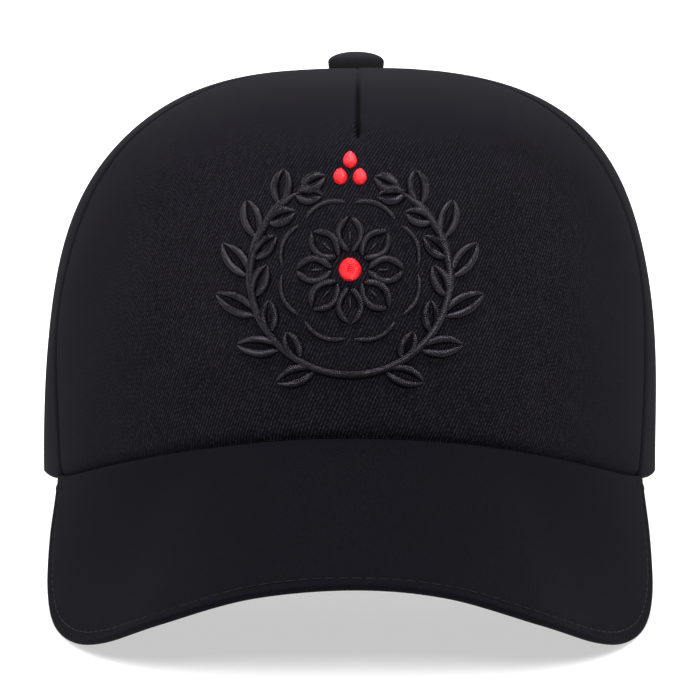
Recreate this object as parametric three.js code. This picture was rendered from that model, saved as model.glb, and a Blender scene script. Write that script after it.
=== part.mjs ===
// Curved-peak cap of five cloth panels, in millimetres. +Z is up, +X is the right-hand side
// as seen from the front, and the peak points along -Y. The crown is drawn in its own frame,
// with the rim's plane at Z = 0, and is then set down on the floor, where it stands on the
// two corners of the peak and on the strap at the back.
import * as THREE from 'three';

// Crown
const CROWN_HALF_LENGTH = 102; // rim's outer face, from the centre to the forehead
const CROWN_HALF_WIDTH = 87.8; // rim's outer face, from the centre to the ear
const CROWN_HEIGHT = 116.6; // rim's plane to the apex
const CROWN_LEAN = 3.3; // how far the soft crown's shoulders lean to the right
const LEAN_POWER = 2.2; // how much of the lean is near the top
const APEX_RETURN = 1.55; // how far the apex under the button comes back from that
const RETURN_POWER = 90; // how much of the return is near the apex
const FRONT_RIM_RISE = 17.2; // how far the rim arches up over the forehead
const EAR_RIM_RISE = 1.1; // how far it arches up over each ear
const EAR_RIM_TURNS = [66, 86, 98, 125]; // where that arch begins, is full and ends
const CLOTH_WALL = 2; // cloth with its backing
const APEX_HOLE = 3; // radius left open where the panels meet, under the button
const CROWN_ROWS = 18; // facets from the rim to the apex

// Roundness of the crown's profile: 2 is an ellipse, more is squarer.
const PROFILE = [
  { turn: 0, wall: 2.6, dome: 2.6 },
  { turn: 90, wall: 2.92, dome: 3.3 },
  { turn: 180, wall: 2.5, dome: 2.3 },
];

// Seams between the panels, by their turn from the front centre in degrees, at the rim and
// at the shoulder. The bow is how far the seam swings back halfway up, and the sweep is how
// far it comes forward over the top.
const SIDE_SEAM = { atRim: 66.8, atTop: 70, bow: 6, sweep: 9 };
const BACK_SEAM = { atRim: 122, atTop: 124, bow: 1, sweep: 0 };
const SWEEP_POWER = 9; // how much of the sweep is near the apex
const SEAM_GAP = 0.3; // air between two neighbouring pieces
const SEAM_DIP = 0.6; // how far the cloth rolls in at a seam
const SEAM_ROLL = [1.5, 4]; // distances from the seam where the roll is drawn
const ROLL_SHARE = 0.24; // most of a narrow panel's width that one roll takes

// Dart that takes in the top of the front panel
const DART_FOOT = 98; // height where the dart ends
const DART_FADE = 6; // height over which it deepens
const DART_DIP = 0.9;
const DART_HALF_TURN = 1.4; // degrees each side of the fold

// Opening at the back, and the strap across it
const OPENING_HALF_TURN = 33; // degrees each side of the back centre
const OPENING_HEIGHT = 57;
const STRAP_HEIGHT = 22;
const STRAP_WALL = 1.8;
const STRAP_HALF_TURN = 41; // degrees, so that each end lies 12 mm inside a panel

// Peak
const PEAK_WALL = 3;
const PEAK_EDGE_WALL = 1.6; // at the bevelled outer edge
const PEAK_HALF_TURN = 67.8; // degrees, the end of its seam with the front panel
const PEAK_COLUMNS = 40;
const PEAK_ROWS = [0, 0.035, 0.17, 0.34, 0.51, 0.68, 0.84, 1]; // outer edge to the seam

// Outer edge of the peak's upper side, from the centre to the seam's end:
// out to the side, ahead of the crown's centre, and up from the rim's plane.
const PEAK_EDGE = [
  { out: 0, ahead: 163, up: -16.6 },
  { out: 24.6, ahead: 159.5, up: -19 },
  { out: 49, ahead: 146, up: -27.4 },
  { out: 64.5, ahead: 127, up: -34.2 },
  { out: 72.5, ahead: 111, up: -36 },
  { out: 78.4, ahead: 94, up: -33.8 },
  { out: 81.6, ahead: 76, up: -26.6 },
  { out: 82.3, ahead: 57, up: -13.5 },
  { out: 81.7, ahead: 43.5, up: -1.5 },
];

// Button
const BUTTON_RADIUS = 8.05;
const BUTTON_HEIGHT = 5.3;
const BUTTON_SIDE = 0.45; // share of the height where the dome begins
const BUTTON_FOOT = 0.96; // radius at the foot, as a share of the full radius
const BUTTON_SEGMENTS = 24;
const STEM_RADIUS = 2.4;
const STEM_LENGTH = 4;

// Standing on the floor
const PRESS = 0.4; // how far the cloth is flattened where it touches the floor

const RIGHT_ANGLE = Math.PI / 2;
const STEP = 1e-3; // small step for slopes
const radians = THREE.MathUtils.degToRad;
const between = THREE.MathUtils.lerp;
const ease = THREE.MathUtils.smoothstep;

// Even shares from 0 to 1.
function shares(count) {
  return Array.from({ length: count + 1 }, (_, i) => i / count);
}

// The turn from the front centre in degrees, the shorter way round.
function degreesAt(turn) {
  const swung = THREE.MathUtils.radToDeg(Math.abs(turn));
  return Math.min(swung, 360 - swung);
}

// The profile's roundness at a turn, eased from one row of the table to the next.
function profileAt(turn) {
  const degrees = degreesAt(turn);
  const next = degrees < PROFILE[1].turn ? 1 : 2;
  const [low, high] = [PROFILE[next - 1], PROFILE[next]];
  const share = ease(degrees, low.turn, high.turn);
  return { wall: between(low.wall, high.wall, share), dome: between(low.dome, high.dome, share) };
}

// The rim lies in one plane at the back, and arches up over the forehead and the ears.
function rimHeight(turn) {
  const forward = Math.max(Math.cos(turn), 0);
  const [start, full, end, stop] = EAR_RIM_TURNS;
  const degrees = degreesAt(turn);
  const overEar = ease(degrees, start, full) * (1 - ease(degrees, end, stop));
  return FRONT_RIM_RISE * forward * forward + EAR_RIM_RISE * overEar;
}

// How far the crown leans to the right at a height.
function leanAt(height) {
  const share = height / CROWN_HEIGHT;
  return CROWN_LEAN * share ** LEAN_POWER - APEX_RETURN * share ** RETURN_POWER;
}

// A point of the crown's outer face. Rise runs from 0 at the rim to 1 at the apex.
function crownPoint(turn, rise) {
  const { wall, dome } = profileAt(turn);
  const reach = Math.cos(rise * RIGHT_ANGLE) ** (2 / wall);
  const lift = Math.sin(rise * RIGHT_ANGLE) ** (2 / dome);
  const rim = rimHeight(turn);
  const height = rim + (CROWN_HEIGHT - rim) * lift;
  return new THREE.Vector3(
    CROWN_HALF_WIDTH * reach * Math.sin(turn) + leanAt(height),
    -CROWN_HALF_LENGTH * reach * Math.cos(turn),
    height,
  );
}

// The turn of a seam at a rise.
function seamTurn(seam, rise) {
  const share = crownPoint(radians(seam.atRim), rise).z / CROWN_HEIGHT;
  const straight = between(seam.atRim, seam.atTop, share);
  return radians(straight + 4 * seam.bow * share * (1 - share) - seam.sweep * share ** SWEEP_POWER);
}

// The crown's outward direction, from small steps along it.
function crownNormal(turn, rise) {
  const across = crownPoint(turn + STEP, rise).sub(crownPoint(turn - STEP, rise));
  const above = crownPoint(turn, Math.min(rise + STEP, 1));
  const below = crownPoint(turn, Math.max(rise - STEP, 0));
  return across.cross(above.sub(below)).normalize();
}

// A point behind the crown's outer face.
function crownInset(turn, rise, depth) {
  return crownPoint(turn, rise).addScaledVector(crownNormal(turn, rise), -depth);
}

// Length along the crown for one radian of turn.
function lengthPerTurn(turn, rise) {
  return crownPoint(turn + STEP, rise).distanceTo(crownPoint(turn - STEP, rise)) / (2 * STEP);
}

// The rise at which the crown reaches a height above the rim's plane.
function riseAt(turn, height) {
  const rim = rimHeight(turn);
  const lift = Math.max(height - rim, 0) / (CROWN_HEIGHT - rim);
  return Math.asin(lift ** (profileAt(turn).dome / 2)) / RIGHT_ANGLE;
}

// The rise at which the crown has come in to the hole under the button.
function riseAtHole(turn) {
  const reach = APEX_HOLE / CROWN_HALF_WIDTH;
  return Math.acos(reach ** (profileAt(turn).wall / 2)) / RIGHT_ANGLE;
}

// The floor as the crown's own frame sees it, once the tilt is known.
const floor = { normal: new THREE.Vector3(0, 0, 1), height: -Infinity };

// A point that would sink into the floor is pressed up onto it.
function onFloor(point) {
  const depth = floor.height - point.dot(floor.normal);
  return depth > 0 ? point.addScaledVector(floor.normal, depth) : point;
}

// A closed wall from a grid of outer points and the inner points behind them.
// Columns run to the right and rows upwards, seen from outside.
function closedWall(outer, inner) {
  const columns = outer.length;
  const rows = outer[0].length;
  const o = (i, j) => i * rows + j;
  const n = (i, j) => columns * rows + i * rows + j;
  const index = [];
  const quad = (a, b, c, d) => index.push(a, b, c, a, c, d);
  for (let i = 0; i < columns - 1; i += 1) {
    for (let j = 0; j < rows - 1; j += 1) {
      quad(o(i, j), o(i + 1, j), o(i + 1, j + 1), o(i, j + 1));
      quad(n(i, j), n(i, j + 1), n(i + 1, j + 1), n(i + 1, j));
    }
    quad(o(i, 0), n(i, 0), n(i + 1, 0), o(i + 1, 0));
    quad(o(i, rows - 1), o(i + 1, rows - 1), n(i + 1, rows - 1), n(i, rows - 1));
  }
  for (let j = 0; j < rows - 1; j += 1) {
    quad(o(0, j), o(0, j + 1), n(0, j + 1), n(0, j));
    quad(o(columns - 1, j), n(columns - 1, j), n(columns - 1, j + 1), o(columns - 1, j + 1));
  }
  const points = [...outer.flat(), ...inner.flat()];
  const geometry = new THREE.BufferGeometry();
  const positions = points.flatMap((point) => onFloor(point).toArray());
  geometry.setAttribute('position', new THREE.Float32BufferAttribute(positions, 3));
  geometry.setIndex(index);
  geometry.computeVertexNormals();
  return geometry;
}

// How far the cloth rolls in at a distance from the nearest seam.
function seamDip(distance) {
  return SEAM_DIP * Math.max(0, 1 - distance / SEAM_ROLL[1]) ** 2;
}

// How far the front panel is drawn in along its dart.
function dartDip(turn, height) {
  const beside = Math.max(0, 1 - Math.abs(turn) / radians(DART_HALF_TURN));
  return DART_DIP * beside * ease(height, DART_FOOT, DART_FOOT + DART_FADE);
}

// How far along a panel of a given width a column lies. The first and last three columns
// draw the cloth's roll into the seams, and the others keep their share of the width.
function columnPlace(column, share, count, width) {
  const fromEnd = Math.min(column, count - 1 - column);
  const narrow = Math.min(1, (ROLL_SHARE * width) / SEAM_ROLL[1]);
  const roll = [SEAM_GAP / 2, SEAM_ROLL[0] * narrow, SEAM_ROLL[1] * narrow][fromEnd];
  if (roll === undefined) return share * width;
  return column === fromEnd ? roll : width - roll;
}

// One panel of the crown between two seams. Places are the columns' shares of the way from
// the first seam to the second, and footRise is where the lower edge lies at a turn.
function crownPanel(firstSeam, secondSeam, places, footRise = () => 0) {
  const outer = [];
  const inner = [];
  for (const [column, share] of places.entries()) {
    const nodeAt = (rise) => {
      const first = firstSeam(rise);
      const scale = lengthPerTurn(between(first, secondSeam(rise), share), rise);
      const width = (secondSeam(rise) - first) * scale;
      const along = columnPlace(column, share, places.length, width);
      return { rise, turn: first + along / scale, seam: Math.min(along, width - along) };
    };
    const foot = footRise(nodeAt(footRise(nodeAt(0).turn)).turn);
    const top = riseAtHole(nodeAt(1 - STEP).turn);
    const nodes = shares(CROWN_ROWS).map((level) => nodeAt(between(foot, top, level)));
    outer.push(nodes.map(({ turn, rise, seam }) => (
      crownInset(turn, rise, seamDip(seam) + dartDip(turn, crownPoint(turn, rise).z))
    )));
    inner.push(nodes.map(({ turn, rise }) => crownInset(turn, rise, CLOTH_WALL)));
  }
  return closedWall(outer, inner);
}

function frontPanel() {
  const fold = DART_HALF_TURN / (2 * (SIDE_SEAM.atTop - SIDE_SEAM.sweep));
  const places = [...shares(28), 0.5 - fold, 0.5 + fold].sort((a, b) => a - b);
  return crownPanel((rise) => -seamTurn(SIDE_SEAM, rise), (rise) => seamTurn(SIDE_SEAM, rise), places);
}

function sidePanel(side) {
  const front = (rise) => side * seamTurn(SIDE_SEAM, rise);
  const back = (rise) => side * seamTurn(BACK_SEAM, rise);
  return side > 0 ? crownPanel(front, back, shares(12)) : crownPanel(back, front, shares(12));
}

// The back panel's lower edge follows the rim, and then half of the opening's arch.
function backPanel(side) {
  const start = seamTurn(BACK_SEAM, 0);
  const arch = radians(OPENING_HALF_TURN);
  const beside = shares(6).map((share) => between(start, Math.PI - arch, share));
  const over = shares(10).slice(1).map((share) => Math.PI - arch * Math.cos(share * RIGHT_ANGLE));
  const places = [...beside, ...over].map((turn) => (turn - start) / (Math.PI - start));
  const footRise = (turn) => {
    const away = Math.min((Math.PI - Math.abs(turn)) / arch, 1);
    return riseAt(turn, OPENING_HEIGHT * Math.sqrt(1 - away * away));
  };
  const seam = (rise) => side * seamTurn(BACK_SEAM, rise);
  const centre = () => side * Math.PI;
  if (side > 0) return crownPanel(seam, centre, places, footRise);
  return crownPanel(centre, seam, places.map((share) => 1 - share).reverse(), footRise);
}

// The strap that closes the opening, just inside the back panels.
function backStrap() {
  const turns = shares(28).map((share) => (
    Math.PI + radians(between(-STRAP_HALF_TURN, STRAP_HALF_TURN, share))
  ));
  const face = (depth) => turns.map((turn) => shares(3).map((level) => (
    crownInset(turn, riseAt(turn, level * STRAP_HEIGHT), depth)
  )));
  const outside = CLOTH_WALL + SEAM_GAP;
  return closedWall(face(outside), face(outside + STRAP_WALL));
}

// The peak's outer edge as one smooth curve, from its left end to its right end.
function peakEdge() {
  const half = PEAK_EDGE.map(({ out, ahead, up }) => new THREE.Vector3(out, -ahead, up));
  const mirrored = half.slice(1).reverse().map(({ x, y, z }) => new THREE.Vector3(-x, y, z));
  return new THREE.CatmullRomCurve3([...mirrored, ...half], false, 'centripetal');
}

// The peak's upper side: straight lines from its edge to the seam, and then a lip
// that lies under the front panel.
function peakTop() {
  const edge = peakEdge();
  return shares(PEAK_COLUMNS).map((share) => {
    const turn = radians(between(-PEAK_HALF_TURN, PEAK_HALF_TURN, share));
    const seam = crownPoint(turn, 0);
    seam.z -= SEAM_GAP;
    const inwards = crownNormal(turn, 0).setZ(0).normalize();
    const lip = seam.clone().addScaledVector(inwards, -CLOTH_WALL);
    const brink = edge.getPointAt(share);
    return [...PEAK_ROWS.map((place) => brink.clone().lerp(seam, place)), lip];
  });
}

// Directions square to a grid of points, from each point's neighbours.
function gridNormals(grid) {
  const lastColumn = grid.length - 1;
  const lastRow = grid[0].length - 1;
  return grid.map((column, i) => column.map((_, j) => {
    const across = grid[Math.min(i + 1, lastColumn)][j].clone().sub(grid[Math.max(i - 1, 0)][j]);
    const along = column[Math.min(j + 1, lastRow)].clone().sub(column[Math.max(j - 1, 0)]);
    return across.cross(along).normalize();
  }));
}

function peak() {
  const upper = peakTop();
  const normals = gridNormals(upper);
  const bevel = (PEAK_WALL - PEAK_EDGE_WALL) / 2;
  const face = (edgeDepth, depth) => upper.map((column, i) => column.map((point, j) => (
    point.clone().addScaledVector(normals[i][j], j === 0 ? -edgeDepth : -depth)
  )));
  return closedWall(face(bevel, 0), face(PEAK_WALL - bevel, PEAK_WALL));
}

// A cloth-covered button with a short stem through the hole where the panels meet.
function button() {
  const side = BUTTON_HEIGHT * BUTTON_SIDE;
  const dome = shares(6).map((share) => {
    const swing = share * RIGHT_ANGLE;
    const radius = share < 1 ? BUTTON_RADIUS * Math.cos(swing) : 0;
    return [radius, between(side, BUTTON_HEIGHT, Math.sin(swing))];
  });
  const profile = [
    [0, -STEM_LENGTH],
    [STEM_RADIUS, -STEM_LENGTH],
    [STEM_RADIUS, 0],
    [BUTTON_RADIUS * BUTTON_FOOT, 0],
    ...dome,
  ].map(([radius, height]) => new THREE.Vector2(radius, height));
  const geometry = new THREE.LatheGeometry(profile, BUTTON_SEGMENTS).rotateX(RIGHT_ANGLE);
  return geometry.translate(leanAt(CROWN_HEIGHT), 0, CROWN_HEIGHT + SEAM_GAP);
}

// The tilt at which the strap and the peak's corners touch one flat floor.
function settle() {
  const heel = crownInset(Math.PI, 0, CLOTH_WALL + SEAM_GAP);
  const points = peak().getAttribute('position');
  let tilt = -Infinity;
  for (let i = 0; i < points.count; i += 1) {
    tilt = Math.max(tilt, Math.atan2(heel.z - points.getZ(i), heel.y - points.getY(i)));
  }
  floor.normal.set(0, -Math.sin(tilt), Math.cos(tilt));
  floor.height = heel.dot(floor.normal) + PRESS;
  return tilt;
}

const tilt = settle();
const cap = new THREE.Group();

function addPiece(name, geometry, color, roughness) {
  const mesh = new THREE.Mesh(geometry, new THREE.MeshStandardMaterial({ color, roughness, metalness: 0 }));
  mesh.name = name;
  cap.add(mesh);
}

addPiece('front_panel', frontPanel(), 0x1d1c20, 0.88);
addPiece('side_panel_right', sidePanel(1), 0x1f1e22, 0.88);
addPiece('side_panel_left', sidePanel(-1), 0x1f1e22, 0.88);
addPiece('back_panel_right', backPanel(1), 0x1f1e22, 0.88);
addPiece('back_panel_left', backPanel(-1), 0x1f1e22, 0.88);
addPiece('back_strap', backStrap(), 0x1c1b1f, 0.9);
addPiece('peak', peak(), 0x19181c, 0.85);
addPiece('button', button(), 0x262529, 0.8);

// Set down on the floor, with the middle of the cap's box over the origin.
cap.rotation.x = -tilt;
cap.updateMatrixWorld(true);
const box = new THREE.Box3().setFromObject(cap, true);
const middle = box.getCenter(new THREE.Vector3());
cap.position.set(-middle.x, -middle.y, -box.min.z);

export default cap;
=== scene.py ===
"""The looks of the curved-peak cap: cloth panels, peak, strap, button, stitching and embroidery.

Lengths are metres. The crown is drawn in its own frame, with the rim's plane at Z = 0 and the
peak along -Y, and is then set down on the floor as the CAD model is.
"""
import math
from functools import partial

import bpy
import numpy as np
from bpy.props import FloatProperty, FloatVectorProperty, IntProperty, PointerProperty
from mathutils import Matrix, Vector


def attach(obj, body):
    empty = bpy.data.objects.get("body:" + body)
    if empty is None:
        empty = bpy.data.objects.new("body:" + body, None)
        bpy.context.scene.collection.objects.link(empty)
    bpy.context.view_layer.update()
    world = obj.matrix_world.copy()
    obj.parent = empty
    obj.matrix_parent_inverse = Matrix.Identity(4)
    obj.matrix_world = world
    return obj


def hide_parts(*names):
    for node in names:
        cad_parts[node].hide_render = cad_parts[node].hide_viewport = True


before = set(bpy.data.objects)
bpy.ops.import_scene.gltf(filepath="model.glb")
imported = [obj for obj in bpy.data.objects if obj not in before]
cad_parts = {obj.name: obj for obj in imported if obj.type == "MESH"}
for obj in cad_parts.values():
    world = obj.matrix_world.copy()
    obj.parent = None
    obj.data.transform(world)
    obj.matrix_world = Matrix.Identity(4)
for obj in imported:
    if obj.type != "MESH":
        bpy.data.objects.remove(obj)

bl_info = {
    "name": "Cloth Cap",
    "version": (1, 0, 0),
    "blender": (4, 5, 0),
    "location": "3D View > Sidebar > Cap",
    "description": "Builds a cloth cap with a curved peak, its stitching and its studio",
    "category": "Object",
}

# Crown, as in the CAD model
CROWN_HALF_LENGTH = 0.102
CROWN_HALF_WIDTH = 0.0878
CROWN_HEIGHT = 0.1166
CROWN_LEAN = 0.0033
LEAN_POWER = 2.2
APEX_RETURN = 0.00155
RETURN_POWER = 90
FRONT_RIM_RISE = 0.0172
EAR_RIM_RISE = 0.0011
EAR_RIM_TURNS = (66, 86, 98, 125)
CLOTH_WALL = 0.002
APEX_HOLE = 0.003

# Roundness of the crown's profile at the front, side and back: 2 is an ellipse.
PROFILE_TURNS = (0, 90, 180)
PROFILE_WALL = (2.6, 2.92, 2.5)
PROFILE_DOME = (2.6, 3.3, 2.3)

# Seams by their turn from the front centre in degrees: at the rim, at the shoulder, how far
# they bow back halfway up, and how far they sweep forward over the top
SIDE_SEAM = (65.7, 68.9, 4.9, 9)
BACK_SEAM = (122, 124, 1, 0)
SWEEP_POWER = 9

# Cloth beside a seam: the narrow fold at its middle, the allowance inside, the gathers, and the
# gap between two walls that are sewn together
SEAM_FOLD_WIDTH = 0.0008
ALLOWANCE_WIDTH = 0.0045
GATHER_LENGTH = 0.0061
GATHER_DRIFT = 0.03
GATHER_REACH = 0.0035
SEWN_GAP = 0.0003
LEAST_WALL = 0.00015

# Shares of the seam's roll and fold that the stiff front and the back panels show
FRONT_ROLL = 0.45
BACK_ROLL = 0.5
BACK_FOLD = 0.4

# Lower edge, which hangs a little over the peak's seam, and the press of the front just above it
FRONT_HANG = 0.0010
SIDE_HANG = 0.0009
SIDE_HANG_FADE = (0.004, 0.03)  # distances from the side seam
HANG_REACH = 0.002
FRONT_PRESS = 0.0009
FRONT_PRESS_WIDTH = 0.0013

# Dart at the top of the front panel, by heights over the rim's plane and depths into the cloth
DART_PLACE = 0.00216  # to the right of the cap's middle
DART_FOOT = 0.0952
DART_START = 0.0004  # below the foot
DART_FADE = 0.0024  # above the foot
DART_BEND = 0.02  # below the foot, where its line joins the middle
DART_DIP = 0.0009  # of the soft roll into the fold
DART_ROLL = 0.0016
DART_FOLD = 0.0018  # of the fold itself
DART_FOLD_WIDTH = 0.0005
DART_PINCH = 0.0009  # of the pinch just above the foot
DART_PINCH_WIDTH = 0.0012
DART_PINCH_HEIGHT = 0.0022
DART_CALM = (0.1045, 0.1150)  # heights between which the fold grows shallow
DART_CALM_SHARE = 0.85
DART_BACK = 0.0018  # of the cloth that stands out behind it
DART_BACK_WIDTH = 0.004
DART_BACK_FADE = 0.005

# Opening at the back, and the strap across it
OPENING_HALF_TURN = math.radians(33)
OPENING_HEIGHT = 0.057
OPENING_COLUMNS = 1.1  # for each cloth step round half of it
STRAP_HEIGHT = 0.022
STRAP_WALL = 0.0018
STRAP_HALF_TURN = math.radians(41)
STRAP_DEPTH = CLOTH_WALL + SEWN_GAP
STRAP_EDGE = 0.0024
STRAP_ROW = 0.0026  # distance of its stitches from its edges
STRAP_ROW_WIDTH = 0.0006
STRAP_ROW_END = 0.03  # turn between the end of its stitches and its own end

# Rows of stitches: how far they press the cloth in and sink into it, and where the rim's row
# starts and ends
ROW_PRESS = 0.00016
THREAD_SINK = 0.0001
HEM_ROW_START = math.radians(96)
HEM_ROW_STOP = 0.05  # turn from the opening
ARCH_ROW_END = 0.02

# Height of the soft waves of the strap and the peak
SMALL_WAVE = 0.00012

# Peak
PEAK_WALL = 0.003
PEAK_EDGE_RADIUS = 0.0008
PEAK_BEVEL = 0.003
PEAK_HALF_TURN = math.radians(67.8)
PEAK_LENGTH = 0.07
PEAK_COLUMN_STEP = 1.3  # of its columns, in cloth steps
PEAK_ROW_WIDTH = 0.0008
PEAK_END_FADE = 0.012
PEAK_END_SHARE = 0.35  # of the edge's rounding that is left at its ends
PEAK_TUCK = 0.0014
PEAK_TUCK_WIDTH = 0.0036
PEAK_EDGE = (  # out to the side, ahead of the crown's centre, up from the rim's plane
    (0, 0.163, -0.0166),
    (0.0246, 0.1595, -0.019),
    (0.049, 0.146, -0.0274),
    (0.0645, 0.127, -0.0342),
    (0.0725, 0.111, -0.036),
    (0.0784, 0.094, -0.0338),
    (0.0816, 0.076, -0.0266),
    (0.0823, 0.057, -0.0135),
    (0.0817, 0.0435, -0.0015),
)

# Lip of the peak under the crown: how far in each side of it turns, and how far up it stands
LIP_START = 0.0012
LIP_TURN = 0.0026
LIP_UNDER = 0.0040
LIP_BACK = 0.0038
LIP_HEIGHT = 0.0036

# Button
BUTTON_RADIUS = 0.00805
BUTTON_HEIGHT = 0.0053
BUTTON_SIDE = 0.45
BUTTON_FOOT = 0.96
BUTTON_TURN_IN = 0.4  # share of its lower half above the fold
BUTTON_SINK = 0.0004

# How the crown's own frame is set down on the floor
REST_TILT = math.radians(10.29)
REST_AHEAD = 0.0304373
REST_LIFT = 0.0174076

# Photograph's camera, in the crown's own frame
CAMERA_DISTANCE = 1.1
CAMERA_AIM_HEIGHT = 0.036
CAMERA_ELEVATION = math.radians(1.8)
METRES_PER_PIXEL = 0.000288
PHOTO_PIXELS = 700
SENSOR_MILLIMETRES = 36

RIGHT_ANGLE = math.pi / 2
STEP = 1e-3
COLUMN_SAMPLES = 260
EDGE_STATIONS = np.array((0, 0.1, 0.25, 0.45, 0.7, 1.0, 1.4, 2.0, 2.8, 3.8, 4.9)) * 1e-3
ROLL_SHARE = 0.3  # most of a narrow span that its edge stations take
MERGE_DISTANCE = 2e-6
CLOTH_SMOOTH = math.radians(50)


class CapSizes(bpy.types.PropertyGroup):
    cloth_step: FloatProperty(
        name="Cloth step", description="Spacing of the cloth's mesh", default=0.0013,
        min=0.0005, unit="LENGTH",
    )
    seam_roll: FloatProperty(
        name="Seam roll", description="How wide the cloth rolls in beside a seam",
        default=0.0032, unit="LENGTH",
    )
    seam_dip: FloatProperty(
        name="Seam dip", description="How deep the cloth rolls in at a seam", default=0.0016,
        unit="LENGTH",
    )
    seam_fold: FloatProperty(
        name="Seam fold", description="Depth of the narrow fold at the middle of a seam",
        default=0.0013, unit="LENGTH",
    )
    allowance: FloatProperty(
        name="Seam allowance", description="How far a seam stands out on the inside",
        default=0.0010, unit="LENGTH",
    )
    unevenness: FloatProperty(
        name="Unevenness", description="Height of the cloth's soft waves", default=0.00022,
        unit="LENGTH",
    )
    pucker: FloatProperty(
        name="Pucker", description="Height of the small gathers along a seam", default=0.00004,
        unit="LENGTH",
    )
    wale_pitch: FloatProperty(
        name="Wale pitch", description="Distance from one twill rib to the next",
        default=0.00085, unit="LENGTH",
    )
    stitch_length: FloatProperty(
        name="Stitch length", description="Length of one stitch", default=0.0027, unit="LENGTH",
    )
    stitch_gap: FloatProperty(
        name="Stitch gap", description="Space between two stitches", default=0.0006,
        unit="LENGTH",
    )
    stitch_width: FloatProperty(
        name="Stitch width", description="Width of the sewing thread", default=0.00042,
        unit="LENGTH",
    )
    hem_row: FloatProperty(
        name="Hem row", description="Distance of the hem's stitches from its edge",
        default=0.0048, unit="LENGTH",
    )
    peak_rows: IntProperty(
        name="Peak rows", description="Rows of stitches on the peak", default=1, min=1,
    )
    peak_first_row: FloatProperty(
        name="First peak row", description="Distance of the first row from the peak's edge",
        default=0.0031, unit="LENGTH",
    )
    peak_row_pitch: FloatProperty(
        name="Peak row pitch", description="Distance from one row of the peak to the next",
        default=0.0092, unit="LENGTH",
    )
    embroidery_rise: FloatProperty(
        name="Embroidery rise", description="Height of the satin stitches over the cloth",
        default=0.0018, unit="LENGTH",
    )
    embroidery_thread: FloatProperty(
        name="Embroidery thread", description="Width of one satin stitch", default=0.00054,
        unit="LENGTH",
    )


class CapColours(bpy.types.PropertyGroup):
    # The raised colours are partly the cloth's own colour and partly painted highlight on the yarns
    # that catch the light; the valleys' colours are the cloth's own colour with painted shade
    # between the ribs
    crown: FloatVectorProperty(
        name="Crown cloth", description="Raised yarns of the crown's twill", subtype="COLOR",
        default=(0.0121, 0.0112, 0.0152),
    )
    crown_deep: FloatVectorProperty(
        name="Crown valleys", description="Valleys of the crown's twill", subtype="COLOR",
        default=(0.0025, 0.0022, 0.0037),
    )
    # The peak is of the crown's cloth, coloured much darker: painted shade over the whole peak
    peak: FloatVectorProperty(
        name="Peak cloth", description="Raised yarns of the peak's twill", subtype="COLOR",
        default=(0.0013, 0.0010, 0.0032),
    )
    peak_deep: FloatVectorProperty(
        name="Peak valleys", description="Valleys of the peak's twill", subtype="COLOR",
        default=(0.0007, 0.0005, 0.0017),
    )
    button: FloatVectorProperty(
        name="Button cloth", description="Raised yarns of the button's cloth", subtype="COLOR",
        default=(0.0190, 0.0181, 0.0208),
    )
    button_deep: FloatVectorProperty(
        name="Button valleys", description="Valleys of the button's cloth", subtype="COLOR",
        default=(0.0108, 0.0103, 0.0122),
    )
    thread: FloatVectorProperty(
        name="Black thread", description="Satin thread", subtype="COLOR",
        default=(0.0013, 0.0011, 0.0019),
    )
    sewing: FloatVectorProperty(
        name="Sewing thread", description="Thread of the seams and rows", subtype="COLOR",
        default=(0.0068, 0.0065, 0.0080),
    )
    accent: FloatVectorProperty(
        name="Red thread", description="Thread of the small accents", subtype="COLOR",
        default=(0.72, 0.012, 0.018),
    )
    floor: FloatVectorProperty(
        name="Floor", description="Studio floor", subtype="COLOR", default=(0.50, 0.50, 0.501),
    )


def ease(value, low, high):
    share = np.clip((value - low) / (high - low), 0, 1)
    return share * share * (3 - 2 * share)


def degrees_at(turn):
    """The turn from the front centre in degrees, the shorter way round."""
    swung = np.degrees(np.abs(turn))
    return np.minimum(swung, 360 - swung)


def profile_at(turn):
    """The profile's roundness at a turn, eased from the front to the side and on to the back."""
    degrees = degrees_at(turn)
    forward = ease(degrees, PROFILE_TURNS[0], PROFILE_TURNS[1])
    backward = ease(degrees, PROFILE_TURNS[1], PROFILE_TURNS[2])
    return tuple(
        np.where(degrees < PROFILE_TURNS[1], a + (b - a) * forward, b + (c - b) * backward)
        for a, b, c in (PROFILE_WALL, PROFILE_DOME)
    )


def rim_height(turn):
    """The rim's height over its plane, with its arches over the forehead and the ears."""
    start, full, end, stop = EAR_RIM_TURNS
    degrees = degrees_at(turn)
    over_ear = ease(degrees, start, full) * (1 - ease(degrees, end, stop))
    return FRONT_RIM_RISE * np.maximum(np.cos(turn), 0) ** 2 + EAR_RIM_RISE * over_ear


def lean_at(height):
    share = height / CROWN_HEIGHT
    return CROWN_LEAN * share ** LEAN_POWER - APEX_RETURN * share ** RETURN_POWER


def crown_point(turn, rise):
    """Points of the crown's outer face. Rise runs from 0 at the rim to 1 at the apex."""
    wall, dome = profile_at(turn)
    reach = np.maximum(np.cos(rise * RIGHT_ANGLE), 0) ** (2 / wall)
    lift = np.sin(rise * RIGHT_ANGLE) ** (2 / dome)
    rim = rim_height(turn)
    height = rim + (CROWN_HEIGHT - rim) * lift
    return np.stack(
        [
            CROWN_HALF_WIDTH * reach * np.sin(turn) + lean_at(height),
            -CROWN_HALF_LENGTH * reach * np.cos(turn),
            height,
        ],
        axis=-1,
    )


def unit(vectors):
    return vectors / np.maximum(np.linalg.norm(vectors, axis=-1, keepdims=True), 1e-12)


def crown_normal(turn, rise):
    across = crown_point(turn + STEP, rise) - crown_point(turn - STEP, rise)
    above = crown_point(turn, np.minimum(rise + STEP, 1))
    below = crown_point(turn, np.maximum(rise - STEP, 0))
    return unit(np.cross(across, above - below))


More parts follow.
